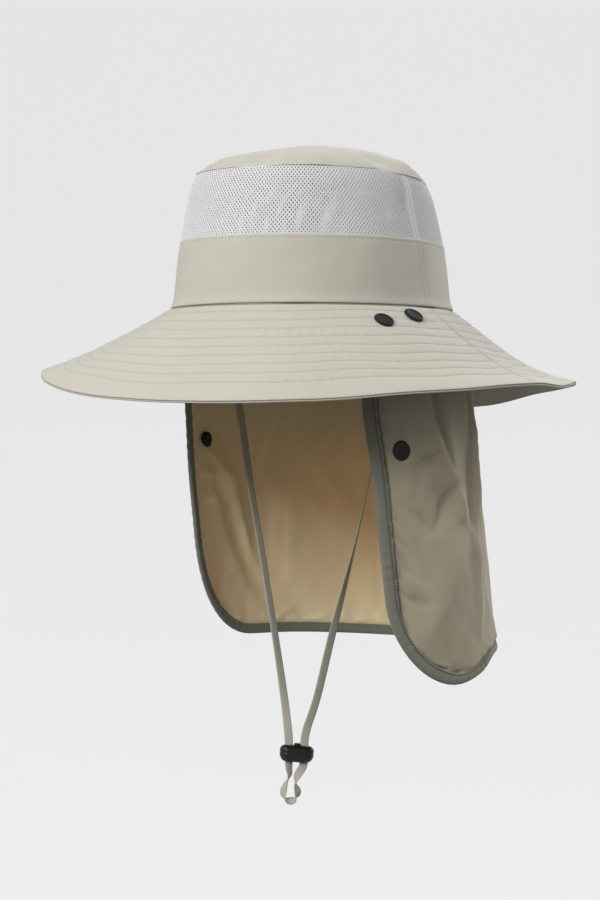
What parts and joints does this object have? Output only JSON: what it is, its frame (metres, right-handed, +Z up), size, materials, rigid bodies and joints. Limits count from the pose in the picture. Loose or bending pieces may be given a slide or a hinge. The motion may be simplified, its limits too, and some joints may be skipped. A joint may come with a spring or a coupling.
{
  "type": "bucket hat with neck flap",
  "caption": "Soft sun hat with a domed crown, a mesh ventilation band, a wide quilted brim, a bound neck flap with snaps and a chin strap with a cord lock.",
  "frame": {"origin": "centre of the head opening, in the plane of the seam between crown and brim", "axes": "+Z up through the crown, -Y towards the hat's front, +X towards the wearer's left"},
  "size_m": [0.3413, 0.3432, 0.4268],
  "materials": {
    "khaki_cloth": "matte plain-weave polyester with a faint sheen",
    "mesh_cloth": "matte knitted mesh with small eyelets",
    "flap_cloth": "thin plain weave, lets some light through",
    "binding_tape": "folded ribbed tape",
    "strap_tape": "flat woven tape",
    "snap_plastic": "moulded, satin",
    "toggle_plastic": "moulded, half gloss"
  },
  "bodies": {
    "root": {"crown_top": "khaki_cloth", "mesh_front": "mesh_cloth", "mesh_back": "mesh_cloth", "side_band_front": "khaki_cloth", "side_band_back": "khaki_cloth", "brim_front": "khaki_cloth", "brim_back": "khaki_cloth", "neck_flap": "flap_cloth", "flap_binding": "binding_tape", "flap_snap_left": "snap_plastic", "flap_snap_right": "snap_plastic", "brim_snap_left_1": "snap_plastic", "brim_snap_left_2": "snap_plastic", "brim_snap_right_1": "snap_plastic", "brim_snap_right_2": "snap_plastic", "chin_strap": "strap_tape", "strap_toggle": "toggle_plastic"}
  },
  "joints": []
}
